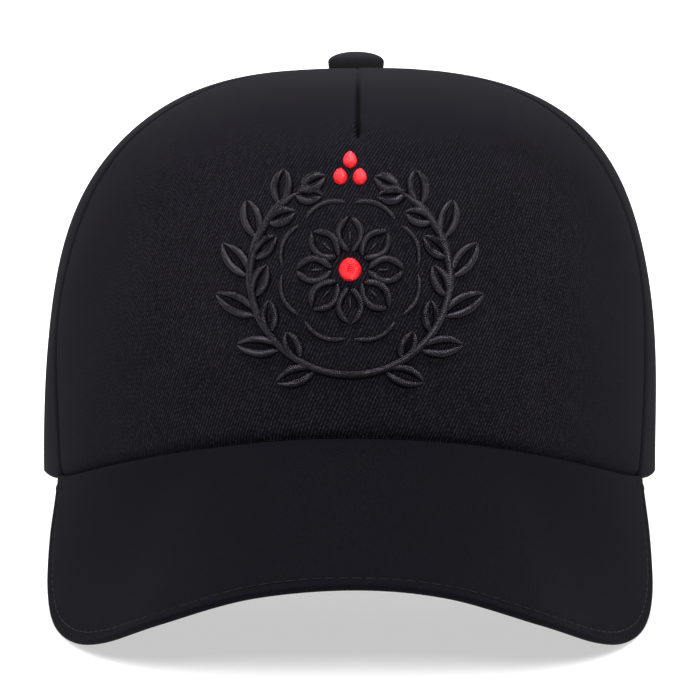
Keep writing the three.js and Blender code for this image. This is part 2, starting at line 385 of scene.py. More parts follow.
def seam_line(seam, side=1):
    """The turn of a seam as a function of the rise."""
    at_rim, at_top, bow, sweep = seam

    def turn(rise):
        share = crown_point(np.full_like(rise, math.radians(at_rim)), rise)[..., 2] / CROWN_HEIGHT
        straight = at_rim + (at_top - at_rim) * share
        swung = straight + 4 * bow * share * (1 - share) - sweep * share ** SWEEP_POWER
        return side * np.radians(swung)

    return turn


def straight_line(turn):
    return lambda rise: np.full_like(rise, turn)


def length_per_turn(turn, rise):
    ahead = crown_point(turn + STEP, rise) - crown_point(turn - STEP, rise)
    return np.linalg.norm(ahead, axis=-1) / (2 * STEP)


def rise_at(turn, height):
    rim = rim_height(turn)
    lift = np.clip((height - rim) / (CROWN_HEIGHT - rim), 0, 1)
    return np.arcsin(lift ** (profile_at(turn)[1] / 2)) / RIGHT_ANGLE


def rise_at_hole(turn):
    reach = APEX_HOLE / CROWN_HALF_WIDTH
    return np.arccos(reach ** (profile_at(turn)[0] / 2)) / RIGHT_ANGLE


def set_down(points):
    """From the crown's own frame to the floor, where the cloth that would sink in is pressed up."""
    cos, sin = math.cos(REST_TILT), math.sin(REST_TILT)
    y, z = points[..., 1], points[..., 2]
    ahead = y * cos + z * sin + REST_AHEAD
    up = -y * sin + z * cos + REST_LIFT
    return np.stack([points[..., 0], ahead, np.maximum(up, 0)], axis=-1)


def soft_waves(points, seed, wavelength):
    """Gentle waves over a surface, between about -1 and 1."""
    chance = np.random.RandomState(seed)
    total = np.zeros(points.shape[:-1])
    for _ in range(6):
        direction = unit(chance.normal(size=3))
        length = wavelength * chance.uniform(0.7, 1.6)
        total += np.sin(points @ direction * (2 * math.pi / length) + chance.uniform(0, 6.3))
    return total / 3


def distance_to_line(points, line):
    """Distance from each point to an open chain of points."""
    flat = points.reshape(-1, 3)
    best = np.full(len(flat), np.inf)
    for a, b in zip(line[:-1], line[1:]):
        along = b - a
        length = max(float(along @ along), 1e-18)
        share = np.clip((flat - a) @ along / length, 0, 1)
        gap = flat - (a + share[:, None] * along)
        np.minimum(best, np.einsum("ij,ij->i", gap, gap), out=best)
    return np.sqrt(best).reshape(points.shape[:-1])


def round_in(distance, radius):
    """Depth of a surface that turns in through a quarter circle as it nears its edge."""
    share = np.clip(1 - distance / radius, 0, 1)
    return radius * (1 - np.sqrt(np.maximum(1 - share * share, 0)))


def groove(distance, width):
    return np.exp(-((distance / width) ** 2))


def along_chain(chain):
    return np.concatenate([[0], np.cumsum(np.linalg.norm(np.diff(chain, axis=0), axis=1))])


def chain_at(chain, length, places):
    """What a chain holds at places along it, between its points."""
    return np.stack([np.interp(places, length, column) for column in chain.T], axis=-1)


def resampled(chain, spacing):
    """The points of a chain at even steps, and their distances along it."""
    length = along_chain(chain)
    places = np.linspace(0, length[-1], max(int(round(length[-1] / spacing)), 1) + 1)
    return chain_at(chain, length, places), places


def deselect():
    if bpy.context.object is not None and bpy.context.object.mode != "OBJECT":
        bpy.ops.object.mode_set(mode="OBJECT")
    bpy.ops.object.select_all(action="DESELECT")


def select_only(piece):
    deselect()
    piece.select_set(True)
    bpy.context.view_layer.objects.active = piece


def set_places(mesh, places):
    """Write a mesh's UV map, which holds metres along the cloth."""
    layer = mesh.uv_layers.active or mesh.uv_layers.new(name="cloth")
    layer.name = "cloth"
    corners = np.empty(len(mesh.loops), np.int32)
    mesh.loops.foreach_get("vertex_index", corners)
    layer.data.foreach_set("uv", places[corners].astype(np.float32).ravel())


def mesh_object(name, points, faces, places, material):
    """An object from points in the crown's own frame, set down on the floor and left selected."""
    mesh = bpy.data.meshes.new(name)
    mesh.from_pydata(set_down(points).tolist(), [], faces)
    set_places(mesh, places)
    mesh.materials.append(material)
    piece = bpy.data.objects.new(name, mesh)
    bpy.context.scene.collection.objects.link(piece)
    select_only(piece)
    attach(piece, "root")
    return piece


def joined_object(name, parts, material):
    """One object from many parts, each with its points, faces and places."""
    points, faces, places, start = [], [], [], 0
    for some, polygons, flat in parts:
        faces += [[start + v for v in face] for face in polygons]
        points.append(some)
        places.append(flat)
        start += len(some)
    return mesh_object(name, np.concatenate(points), faces, np.concatenate(places), material)


def wall_faces(columns, rows):
    """Quads of a closed wall: the outer grid, the inner grid behind it, and their four edges."""
    front = np.arange(columns * rows).reshape(columns, rows)
    back = front + columns * rows

    def quads(a, b, c, d):
        return np.stack([a, b, c, d], axis=-1).reshape(-1, 4)

    return np.concatenate(
        [
            quads(front[:-1, :-1], front[1:, :-1], front[1:, 1:], front[:-1, 1:]),
            quads(back[:-1, :-1], back[:-1, 1:], back[1:, 1:], back[1:, :-1]),
            quads(front[:-1, 0], back[:-1, 0], back[1:, 0], front[1:, 0]),
            quads(front[:-1, -1], front[1:, -1], back[1:, -1], back[:-1, -1]),
            quads(front[0, :-1], front[0, 1:], back[0, 1:], back[0, :-1]),
            quads(front[-1, :-1], back[-1, :-1], back[-1, 1:], front[-1, 1:]),
        ]
    )


def cloth_wall(name, outer, inner, places, material):
    """A closed wall between two grids of points, merged where its edges meet."""
    points = np.concatenate([outer.reshape(-1, 3), inner.reshape(-1, 3)])
    doubled = np.tile(places.reshape(-1, 2), (2, 1))
    wall = mesh_object(name, points, wall_faces(*outer.shape[:2]).tolist(), doubled, material)
    bpy.ops.object.mode_set(mode="EDIT")
    bpy.ops.mesh.select_all(action="SELECT")
    bpy.ops.mesh.remove_doubles(threshold=MERGE_DISTANCE)
    bpy.ops.object.mode_set(mode="OBJECT")
    bpy.ops.object.shade_smooth_by_angle(angle=CLOTH_SMOOTH)
    return wall


class Span:
    """Columns between two lines of the crown. Those beside a line keep their distance from it
    all the way up, and the others share the width between them."""

    def __init__(self, first, second, step, at_first=True, at_second=True, shares=None):
        self.first, self.second = first, second
        ends = EDGE_STATIONS if at_first else EDGE_STATIONS[:0]
        others = EDGE_STATIONS[::-1] if at_second else EDGE_STATIONS[:0]
        if shares is None:
            rim = np.zeros(1)
            middle = (first(rim) + second(rim)) / 2
            width = float(((second(rim) - first(rim)) * length_per_turn(middle, rim))[0])
            count = max(int(width / step), 4)
            shares = np.arange(0 if not at_first else 1, count + (0 if at_second else 1)) / count
        self.kind = np.repeat([0, 1, 2], [len(ends), len(shares), len(others)])[:, None]
        self.amount = np.concatenate([ends, shares, others])[:, None]
        self.reach = EDGE_STATIONS[-1] * np.array([at_first, at_second], float)

    def at(self, rise):
        """Turn, and distances to both lines, for a rise of each column."""
        first, second = self.first(rise), self.second(rise)
        scale = length_per_turn((first + second) / 2, rise)
        width = (second - first) * scale
        narrow = np.minimum(1, ROLL_SHARE * width / EDGE_STATIONS[-1])
        low, high = self.reach[0] * narrow, width - self.reach[1] * narrow
        along = np.where(self.kind == 1, low + self.amount * (high - low), self.amount * narrow)
        along = np.where(self.kind == 2, width - along, along)
        return first + along / scale, along, width - along


def columns_of(spans, rise):
    """Turns of all the columns, and each column's distances to its own span's two lines."""
    split = np.cumsum([len(span.amount) for span in spans])[:-1]
    parts = [span.at(part) for span, part in zip(spans, np.split(rise, split))]
    return [np.concatenate(group) for group in zip(*parts)]


def crown_grid(spans, step, foot_height=None):
    """A grid on the crown's face, its columns from the panel's lower edge to the apex."""
    count = sum(len(span.amount) for span in spans)
    ones = np.ones((count, 1))
    top = rise_at_hole(columns_of(spans, ones * (1 - STEP))[0])
    foot = ones * 0
    if foot_height is not None:
        for _ in range(3):
            turn = columns_of(spans, foot)[0]
            foot = rise_at(turn, foot_height(turn))
    fine = top * np.linspace(0, 1, COLUMN_SAMPLES) ** 2
    chain = crown_point(columns_of(spans, fine)[0], fine)
    steps = np.linalg.norm(np.diff(chain, axis=1), axis=-1)
    length = np.concatenate([np.zeros((count, 1)), np.cumsum(steps, axis=1)], axis=1)
    rows = int(length[:, -1].max() / step)
    shares = np.arange(1, rows + 1) / rows
    rise, climb = [], []
    for k in range(count):
        start = np.interp(foot[k, 0], fine[k], length[k])
        left = length[k, -1] - start - EDGE_STATIONS[-1]
        stations = start + np.concatenate([EDGE_STATIONS, EDGE_STATIONS[-1] + shares * left])
        rise.append(np.interp(stations, length[k], fine[k]))
        climb.append(stations)
    rise, climb = np.array(rise), np.array(climb)
    turn, to_first, to_second = columns_of(spans, rise)
    return {
        "turn": turn, "rise": rise, "climb": climb, "to_first": to_first, "to_second": to_second,
        "base": crown_point(turn, rise), "normal": crown_normal(turn, rise),
    }


def crown_waves(base, sizes):
    return sizes.unevenness * soft_waves(base, seed=5, wavelength=0.045)


def dart_depths(depth, inner_depth, height, dart):
    """Depths of a panel's two faces with the dart's roll, its fold and the pinch at its foot."""
    grown = ease(height, DART_FOOT - DART_START, DART_FOOT + DART_FADE)
    grown = grown * (1 - DART_CALM_SHARE * ease(height, *DART_CALM))
    crease = DART_DIP * round_in(dart, DART_ROLL) / DART_ROLL
    crease = crease + DART_FOLD * groove(dart, DART_FOLD_WIDTH)
    above = height - DART_FOOT - DART_PINCH_HEIGHT
    pinch = groove(dart, DART_PINCH_WIDTH) * groove(above, DART_PINCH_HEIGHT)
    behind = groove(dart, DART_BACK_WIDTH) * ease(height, DART_FOOT - DART_BACK_FADE, DART_FOOT)
    inner_depth = inner_depth + DART_BACK * behind
    pressed = depth + crease * grown + DART_PINCH * pinch
    return np.minimum(pressed, inner_depth - LEAST_WALL), inner_depth


def build_panel(name, grid, seams, centre, material, sizes, roll=1.0, fold=1.0, dart=None,
                hang=0.0):
    """One crown panel as a closed wall. Seams holds the distances to each line that is sewn."""
    base, normal = grid["base"], grid["normal"]
    to_foot = distance_to_line(base, base[:, 0])
    hem = round_in(to_foot, CLOTH_WALL / 2)
    above_hem = 1 - hem / CLOTH_WALL * 2
    waves = crown_waves(base, sizes)
    depth = hem - waves
    inner_depth = CLOTH_WALL - hem - waves
    width = sizes.seam_roll * roll
    for number, distance in enumerate(seams):
        inner_depth = inner_depth + sizes.allowance * groove(distance, ALLOWANCE_WIDTH) * above_hem
        drift = 2 * soft_waves(base, seed=number, wavelength=GATHER_DRIFT)
        gathers = np.sin(grid["climb"] * (2 * math.pi / GATHER_LENGTH) + drift)
        depth = depth + sizes.seam_dip * roll * (round_in(distance, width) / width)
        depth = depth + fold * sizes.seam_fold * groove(distance, SEAM_FOLD_WIDTH)
        depth = depth - sizes.pucker * gathers * np.exp(-distance / GATHER_REACH)
    if dart is not None:
        depth = depth + FRONT_PRESS * groove(to_foot, FRONT_PRESS_WIDTH)
        depth, inner_depth = dart_depths(depth, inner_depth, base[..., 2], dart)
    depth = np.minimum(depth, inner_depth)
    outer = base - normal * depth[..., None]
    inner = base - normal * inner_depth[..., None]
    for face in (outer, inner):
        face[..., 2] -= hang * np.exp(-to_foot / HANG_REACH)
    across = (grid["turn"] - centre(grid["rise"])) * length_per_turn(grid["turn"], grid["rise"])
    places = np.stack([across, grid["climb"]], axis=-1)
    panel = cloth_wall(f"{name}_cloth", outer, inner, places, material)
    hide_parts(name)
    return panel


def middle_line(first, second):
    return lambda rise: (first(rise) + second(rise)) / 2


def opening_edge(turn):
    """Height of the back panels' lower edge: the rim, and then the opening's arch."""
    away = np.minimum((math.pi - np.abs(turn)) / OPENING_HALF_TURN, 1)
    return OPENING_HEIGHT * np.sqrt(1 - away * away)


def back_spans(side, step):
    seam = seam_line(BACK_SEAM, side)
    edge = straight_line(side * (math.pi - OPENING_HALF_TURN))
    centre = straight_line(side * math.pi)
    arch = OPENING_HALF_TURN * length_per_turn(np.array(math.pi), np.array(0.0))
    half_round = math.hypot(arch, OPENING_HEIGHT)
    count = int(OPENING_COLUMNS * half_round / step)
    shares = 1 - np.cos(np.arange(1, count) / count * RIGHT_ANGLE)
    if side > 0:
        return [Span(seam, edge, step), Span(edge, centre, step, at_first=False, shares=shares)]
    back = Span(centre, edge, step, at_second=False, shares=1 - shares[::-1])
    return [back, Span(edge, seam, step)]


def dart_line(rise):
    """The turn of the dart, which runs straight up while the crown around it leans."""
    height = crown_point(np.zeros_like(rise), rise)[..., 2]
    reach = CROWN_HALF_WIDTH * np.maximum(np.cos(rise * RIGHT_ANGLE), 0) ** (2 / PROFILE_WALL[0])
    turn = (DART_PLACE - lean_at(height)) / np.maximum(reach, APEX_HOLE)
    return turn * ease(height, DART_FOOT - DART_BEND, DART_FOOT)


def front_grid(sizes):
    left, centre, right = seam_line(SIDE_SEAM, -1), dart_line, seam_line(SIDE_SEAM)
    grid = crown_grid([Span(left, centre, sizes.cloth_step), Span(centre, right, sizes.cloth_step)],
                      sizes.cloth_step)
    half = len(grid["turn"]) // 2
    keep = np.r_[0:half, half + 1:2 * half]
    grid = {key: value[keep] for key, value in grid.items()}
    on_left = np.arange(len(keep))[:, None] < half
    to_centre = np.where(on_left, grid["to_second"], grid["to_first"])
    to_seam = np.where(on_left, grid["to_first"], grid["to_second"])
    return grid, to_seam, to_centre


class CAP_OT_crown(bpy.types.Operator):
    """Sew the five cloth panels of the crown"""

    bl_idname = "cap.crown"
    bl_label = "Crown panels"

    def execute(self, context):
        sizes, colours = context.scene.cap_sizes, context.scene.cap_colours
        front_cloth = twill_material("crown twill", colours.crown, colours.crown_deep,
                                     sizes.wale_pitch, FRONT_FADE)
        cloth = twill_material("side twill", colours.crown, colours.crown_deep,
                               sizes.wale_pitch, EVEN_FADE, relief=EVEN_RELIEF)
        grid, to_seam, to_centre = front_grid(sizes)
        build_panel("front_panel", grid, [to_seam], straight_line(0), front_cloth, sizes,
                    roll=FRONT_ROLL, dart=to_centre, hang=FRONT_HANG)
        for side, word in ((1, "right"), (-1, "left")):
            self.side_panel(side, word, cloth, sizes)
            self.back_panel(side, word, cloth, sizes)
        return {"FINISHED"}

    def side_panel(self, side, word, cloth, sizes):
        near, far = seam_line(SIDE_SEAM, side), seam_line(BACK_SEAM, side)
        first, second = (near, far) if side > 0 else (far, near)
        grid = crown_grid([Span(first, second, sizes.cloth_step)], sizes.cloth_step)
        to_front = grid["to_first"] if side > 0 else grid["to_second"]
        build_panel(f"side_panel_{word}", grid, [grid["to_first"], grid["to_second"]],
                    middle_line(first, second), cloth, sizes,
                    hang=SIDE_HANG * (1 - ease(to_front, *SIDE_HANG_FADE)))

    def back_panel(self, side, word, cloth, sizes):
        seam, centre = seam_line(BACK_SEAM, side), straight_line(side * math.pi)
        spans = back_spans(side, sizes.cloth_step)
        grid = crown_grid(spans, sizes.cloth_step, opening_edge)
        if side < 0:
            # On the left the column that all but touches the opening's edge is left out
            keep = np.delete(np.arange(len(grid["turn"])), len(spans[0].amount) - 1)
            grid = {key: value[keep] for key, value in grid.items()}
        turn, rise = grid["turn"], grid["rise"]
        to_seam, to_centre = (
            np.abs(turn - line(rise)) * length_per_turn(turn, rise) for line in (seam, centre)
        )
        build_panel(f"back_panel_{word}", grid, [to_seam, to_centre], middle_line(seam, centre),
                    cloth, sizes, roll=BACK_ROLL, fold=BACK_FOLD)


class CAP_OT_strap(bpy.types.Operator):
    """Make the plain strap across the opening at the back"""

    bl_idname = "cap.strap"
    bl_label = "Back strap"

    def execute(self, context):
        sizes, colours = context.scene.cap_sizes, context.scene.cap_colours
        turns = math.pi + np.linspace(-STRAP_HALF_TURN, STRAP_HALF_TURN, 120)
        ends = EDGE_STATIONS[:7]
        between = np.linspace(STRAP_EDGE, STRAP_HEIGHT - STRAP_EDGE, 14)
        heights = np.concatenate([ends, between, STRAP_HEIGHT - ends[::-1]])
        turn, height = np.meshgrid(turns, heights, indexing="ij")
        rise = rise_at(turn, height)
        base, normal = crown_point(turn, rise), crown_normal(turn, rise)
        outline = np.concatenate([base[:, 0], base[-1, 1:], base[::-1, -1][1:], base[0, ::-1][1:]])
        to_edge = distance_to_line(base, outline)
        fold = round_in(to_edge, STRAP_WALL / 2)
        pressed = ROW_PRESS * groove(to_edge - STRAP_ROW, STRAP_ROW_WIDTH)
        waves = SMALL_WAVE * soft_waves(base, seed=11, wavelength=0.03)
        outer = base - normal * (STRAP_DEPTH + fold + pressed - waves)[..., None]
        inner = base - normal * (STRAP_DEPTH + STRAP_WALL - fold - pressed - waves)[..., None]
        along = (turn - math.pi) * length_per_turn(turn, rise)
        cloth = twill_material("strap twill", colours.crown, colours.crown_deep,
                               sizes.wale_pitch, EVEN_FADE, relief=EVEN_RELIEF)
        places = np.stack([along, height], axis=-1)
        strap = cloth_wall("back_strap_cloth", outer, inner, places, cloth)
        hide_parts("back_strap")
        return {"FINISHED"}


def smooth_curve(points, count):
    """Points at even steps of a centripetal Catmull-Rom curve."""
    points = [np.array(p, float) for p in points]
    padded = [2 * points[0] - points[1], *points, 2 * points[-1] - points[-2]]
    fine = []
    for p0, p1, p2, p3 in zip(padded, padded[1:], padded[2:], padded[3:]):
        d0, d1, d2 = (np.linalg.norm(b - a) ** 0.5 for a, b in ((p0, p1), (p1, p2), (p2, p3)))
        t1 = ((p1 - p0) / d0 - (p2 - p0) / (d0 + d1) + (p2 - p1) / d1) * d1
        t2 = ((p2 - p1) / d1 - (p3 - p1) / (d1 + d2) + (p3 - p2) / d2) * d1
        w = np.linspace(0, 1, 60, endpoint=False)[:, None]
        bend = (-3 * p1 + 3 * p2 - 2 * t1 - t2) * w ** 2 + (2 * p1 - 2 * p2 + t1 + t2) * w ** 3
        fine.append(p1 + t1 * w + bend)
    chain = np.concatenate([*fine, [points[-1]]])
    length = along_chain(chain)
    return chain_at(chain, length, np.asarray(count) * length[-1])


def peak_grid(sizes):
    """The peak's upper side: lines from its edge to its seam, and the distances to both."""
    half = [(out, -ahead, up) for out, ahead, up in PEAK_EDGE]
    control = [(-x, y, z) for x, y, z in half[:0:-1]] + half
    length = along_chain(smooth_curve(control, np.linspace(0, 1, 400)))[-1]
    ends = EDGE_STATIONS / length
    columns = int(length / sizes.cloth_step / PEAK_COLUMN_STEP)
    inside = np.linspace(ends[-1], 1 - ends[-1], columns)[1:-1]
    shares = np.concatenate([ends, inside, 1 - ends[::-1]])
    brink = smooth_curve(control, shares)
    turn = PEAK_HALF_TURN * (2 * shares - 1)
    seam = crown_point(turn, np.zeros_like(turn)) - (0, 0, SEWN_GAP)
    rows = int(PEAK_LENGTH / sizes.cloth_step)
    ruling = np.linalg.norm(seam - brink, axis=1)[:, None]
    near = EDGE_STATIONS * np.minimum(1, ROLL_SHARE * ruling / EDGE_STATIONS[-1])
    between = np.arange(1, rows) / rows
    middle = near[:, -1:] + between * (ruling - near[:, -1:] - near[:, -1:])
    along = np.concatenate([near, middle, ruling - near[:, ::-1]], axis=1)
    grid = brink[:, None] + (seam - brink)[:, None] * (along / ruling)[..., None]
    return grid, shares, length, along, ruling - along


def grid_normals(grid):
    across = np.gradient(grid, axis=0)
    along = np.gradient(grid, axis=1)
    return unit(np.cross(unit(across), unit(along)))


class CAP_OT_peak(bpy.types.Operator):
    """Cover the curved peak and sew its rows of stitches"""

    bl_idname = "cap.peak"
    bl_label = "Peak"

    def execute(self, context):
        sizes, colours = context.scene.cap_sizes, context.scene.cap_colours
        grid, shares, length, along, to_seam = peak_grid(sizes)
        normal = grid_normals(grid)
        # The edge turns sharply at the corners, which take the direction of the cloth beside them
        corner = len(EDGE_STATIONS)
        normal[:corner] = normal[corner]
        normal[-corner:] = normal[-corner - 1]
        to_edge = distance_to_line(grid, np.concatenate([grid[:-1:2, 0], grid[-1:, 0]]))
        to_end = np.minimum(distance_to_line(grid, grid[0, ::2]),
                            distance_to_line(grid, grid[-1, ::2]))
        away = ease(to_end, 0, PEAK_END_FADE)
        rounding = round_in(to_edge, PEAK_EDGE_RADIUS)
        rounding = rounding * (PEAK_END_SHARE + (1 - PEAK_END_SHARE) * away)
        bevel = round_in(np.minimum(to_edge, to_end), PEAK_BEVEL) / PEAK_BEVEL
        rows = sizes.peak_first_row + sizes.peak_row_pitch * np.arange(sizes.peak_rows)
        pressed = ROW_PRESS * sum(groove(to_edge - row, PEAK_ROW_WIDTH) for row in rows)
        tuck = PEAK_TUCK * away * round_in(to_seam, PEAK_TUCK_WIDTH) / PEAK_TUCK_WIDTH
        waves = SMALL_WAVE * soft_waves(grid, seed=21, wavelength=0.04)
        upper = grid - normal * (rounding + pressed + tuck - waves)[..., None]
        under = PEAK_WALL - (PEAK_WALL - PEAK_EDGE_RADIUS) * bevel - pressed - waves
        lower = grid - normal * np.maximum(under, PEAK_EDGE_RADIUS)[..., None]
        lip = self.lip(PEAK_HALF_TURN * (2 * shares - 1), upper[:, -1], lower[:, -1])
        upper, lower = (np.concatenate(pair, axis=1) for pair in ((upper, lip[0]), (lower, lip[1])))
        centred = (shares - 0.5) * length
        places = np.stack([centred[:, None] + 0 * along, along], axis=-1)
        lip_lengths = (LIP_START, LIP_TURN, LIP_TURN + LIP_HEIGHT)
        folded = places[:, -1:] + np.array([[(0, further) for further in lip_lengths]])
        places = np.concatenate([places, folded], axis=1)
        # The peak's colours paint shade over it: it is the crown's cloth, coloured much darker
        cloth = twill_material("peak twill", colours.peak, colours.peak_deep,
                               sizes.wale_pitch * PEAK_WALE, gloss=PEAK_GLOSS, relief=PEAK_RELIEF)
        peak = cloth_wall("peak_cloth", upper, lower, places, cloth)
        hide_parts("peak")
        lines = [line for row in rows for line in self.row_lines(grid, normal, to_edge, row)]
        sewn_rows("peak_stitches", lines, context)
        return {"FINISHED"}

    def lip(self, turn, upper, lower):
        """Three more rows that carry the peak's cloth in under the crown and up behind it."""
        inwards = -crown_normal(turn, np.zeros_like(turn))
        inwards[:, 2] = 0
        inwards = unit(inwards)
        raised = np.array([0, 0, LIP_HEIGHT])
        above = [upper + inwards * LIP_START, upper + inwards * LIP_TURN,
                 upper + inwards * LIP_TURN + raised]
        below = [lower + inwards * LIP_START, lower + inwards * LIP_UNDER,
                 upper + inwards * LIP_BACK + raised]
        return np.stack(above, axis=1), np.stack(below, axis=1)

    def row_lines(self, grid, normal, to_edge, distance):
        """Lines of points at one distance from the peak's edge, with the directions out of it."""
        lines, line = [], []
        for i in range(len(grid)):
            crossing = np.flatnonzero((to_edge[i, :-1] < distance) & (to_edge[i, 1:] >= distance))
            if len(crossing) and crossing[0] < grid.shape[1] - 2:
                j = crossing[0]
                share = (distance - to_edge[i, j]) / max(to_edge[i, j + 1] - to_edge[i, j], 1e-9)
                place = grid[i, j] + share * (grid[i, j + 1] - grid[i, j])
                line.append(np.concatenate([place - normal[i, j] * THREAD_SINK, normal[i, j]]))
            elif line:
                lines.append(np.array(line))
                line = []
        lines.append(np.array(line))
        return [each for each in lines if len(each) > 3]


def stitch_mesh():
    """One stitch, a unit long and a unit wide: a sphere with blunter ends."""
    deselect()
    bpy.ops.mesh.primitive_uv_sphere_add(segments=8, ring_count=6, radius=0.5)
    stitch = bpy.context.object
    select_only(stitch)
    bpy.ops.object.mode_set(mode="EDIT")
    bpy.ops.mesh.select_all(action="SELECT")
    bpy.ops.transform.rotate(value=RIGHT_ANGLE, orient_axis="Y", center_override=(0, 0, 0))
    bpy.ops.object.mode_set(mode="OBJECT")
    points = np.array([v.co for v in stitch.data.vertices])
    faces = [list(p.vertices) for p in stitch.data.polygons]
    bpy.data.objects.remove(stitch, do_unlink=True)
    squared = np.sign(points[:, 0]) * 0.5 * (np.abs(points[:, 0]) * 2) ** STITCH_ROUNDNESS
    return np.stack([squared, points[:, 1], points[:, 2]], axis=1), faces


def sewn_rows(name, lines, context):
    """Copies of one stitch along lines of points and of the directions out of the cloth."""
    sizes = context.scene.cap_sizes
    shape, faces = stitch_mesh()
    local = shape * (sizes.stitch_length, sizes.stitch_width, sizes.stitch_width * STITCH_HEIGHT)
    reach = sizes.stitch_length / 2
    parts = []
    for line in lines:
        length = along_chain(line[:, :3])
        count = int(length[-1] / (sizes.stitch_length + sizes.stitch_gap))
        for middle in (np.arange(count) + 0.5) * (length[-1] / max(count, 1)):
            here, ahead, behind = (chain_at(line, length, middle + by) for by in (0, reach, -reach))
            along = unit(ahead[:3] - behind[:3])
            out = unit(here[3:] - along * (here[3:] @ along))
            turned = local @ np.array([along, np.cross(out, along), out])
            parts.append(((ahead[:3] + behind[:3]) / 2 + turned, faces, local[:, :2]))
    thread = thread_material("sewing thread", context.scene.cap_colours.sewing,
                             roughness=SEWING_ROUGHNESS, gloss=SEWING_GLOSS)
    joined_object(name, parts, thread)
    bpy.ops.object.shade_smooth()


def sewing_line(turn, rise, depth=THREAD_SINK, facing=1):
    """Points under the crown's face, each with the direction out of the cloth."""
    normal = crown_normal(turn, rise)
    return np.concatenate([crown_point(turn, rise) - normal * depth, normal * facing], axis=1)


class CAP_OT_stitches(bpy.types.Operator):
    """Sew the rows along the rim, round the opening and on the strap"""

    bl_idname = "cap.stitches"
    bl_label = "Hem and strap stitches"

    def execute(self, context):
        hem_row = context.scene.cap_sizes.hem_row
        lines = []
        for side in (1, -1):
            stop = math.pi - OPENING_HALF_TURN - HEM_ROW_STOP
            turn = side * np.linspace(HEM_ROW_START, stop, 90)
            lines.append(sewing_line(turn, rise_at(turn, rim_height(turn) + hem_row)))
        lines.append(self.arch_line(hem_row))
        sewn_rows("hem_stitches", lines, context)
        sewn_rows("strap_stitches", self.strap_lines(), context)
        return {"FINISHED"}

    def arch_line(self, distance):
        """The line at one distance round the opening."""
        angle = np.linspace(ARCH_ROW_END, math.pi - ARCH_ROW_END, 160)
        scale = float(length_per_turn(np.array(math.pi), np.array(0.0)))
        half = OPENING_HALF_TURN * scale
        out = unit(np.stack([OPENING_HEIGHT * np.cos(angle), half * np.sin(angle)], axis=1))
        turn = math.pi - (half * np.cos(angle) + out[:, 0] * distance) / scale
        height = OPENING_HEIGHT * np.sin(angle) + out[:, 1] * distance
        return sewing_line(turn, rise_at(turn, height))

    def strap_lines(self):
        """Two lines on the outside of the strap and two on its inside."""
        half = STRAP_HALF_TURN - STRAP_ROW_END
        turn = np.linspace(math.pi - half, math.pi + half, 120)
        lines = []
        for height in (STRAP_ROW, STRAP_HEIGHT - STRAP_ROW):
            rise = rise_at(turn, np.full_like(turn, height))
            for depth, facing in ((STRAP_DEPTH, 1), (STRAP_DEPTH + STRAP_WALL, -1)):
                lines.append(sewing_line(turn, rise, depth + THREAD_SINK * facing, facing))
        return lines


class CAP_OT_button(bpy.types.Operator):
    """Cover the button at the top of the crown"""

    bl_idname = "cap.button"
    bl_label = "Button"

    def execute(self, context):
        sizes, colours = context.scene.cap_sizes, context.scene.cap_colours
        deselect()
        bpy.ops.mesh.primitive_uv_sphere_add(segments=64, ring_count=40, radius=1)
        button = context.object
        button.name = button.data.name = "button_cover"
        select_only(button)
        ball = np.array([vertex.co for vertex in button.data.vertices])
        points, places = self.cover(np.arcsin(np.clip(ball[:, 2], -1, 1)),
                                    np.arctan2(ball[:, 1], ball[:, 0]))
        moved = points + (lean_at(CROWN_HEIGHT), 0, CROWN_HEIGHT + SEWN_GAP - BUTTON_SINK)
        for vertex, place in zip(button.data.vertices, set_down(moved)):
            vertex.co = place
        set_places(button.data, places)
        bpy.ops.object.shade_smooth_by_angle(angle=math.radians(60))
        button.data.materials.append(
            twill_material("button cloth", colours.button, colours.button_deep,
                           sizes.wale_pitch * BUTTON_WALE)
        )
        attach(button, "root")
        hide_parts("button")
        return {"FINISHED"}

    def cover(self, swing, turn):
        """The button's points and places for the swing up and the turn round of a ball's points."""
        side = BUTTON_HEIGHT * BUTTON_SIDE
        share = np.maximum(-swing, 0) / RIGHT_ANGLE
        foot = np.minimum(share / BUTTON_TURN_IN, 1)
        lower = BUTTON_RADIUS * (1 - (1 - BUTTON_FOOT) * foot ** 2)
        lower = lower * np.clip(1 - (share - BUTTON_TURN_IN) / (1 - BUTTON_TURN_IN), 0, 1)
        radius = np.where(swing >= 0, BUTTON_RADIUS * np.cos(swing), lower)
        dome = side + (BUTTON_HEIGHT - side) * np.sin(swing)
        height = np.where(swing >= 0, dome, side * (1 - foot))
        away = side - height + radius
        points = np.stack([radius * np.cos(turn), radius * np.sin(turn), height], axis=1)
        return points, np.stack([away * np.cos(turn), away * np.sin(turn)], axis=1)


# Embroidery, drawn on a flat plan in front of the panel: x to the right and y up, from its middle
MOTIF_HEIGHT = 0.0585  # of its middle, over the rim's plane
WREATH_RADII = (0.0262, 0.0258)
STEM_TURNS = (-104, 60)  # degrees from the right, up along the stem
STEM_HALF_WIDTH = 0.00125
STEM_TAPER = (0.004, 0.008)
LEAF_TURNS = (-70, -47, -24, -1, 22, 45)
LEAF_HALF_WIDTH = 0.00122
LEAF_TAPER = (0.35, 0.55)  # shares of its length
OUTER_LEAF = (math.radians(40), 0.0130, 0.0019)  # turn from the stem, length, spread
INNER_LEAF = (math.radians(46), 0.0096, 0.0016)
INNER_LEAF_LATER = 11  # degrees further up the stem
TIP_LEAF = (0.0080, 0.0014)
LEAF_SHRINK = 0.07
ROSETTE_MIDDLE = (0, 0.0015)
PETALS = 8
PETAL_HALF_WIDTH = 0.00112
PETAL_REACH = (0.0046, 0.0142)
PETAL_SPREAD = 0.0029
PETAL_TAPER = (0.002, 0.003)
VEIN_HALF_WIDTH = 0.0005
VEIN_REACH = (0.0070, 0.0106)
VEIN_TAPER = (0.0015, 0.0015)
RING_HALF_WIDTH = 0.0008
RING_TAPER = (0.003, 0.003)
RING_RADIUS = 0.0178
RING_BULGE = -0.0022
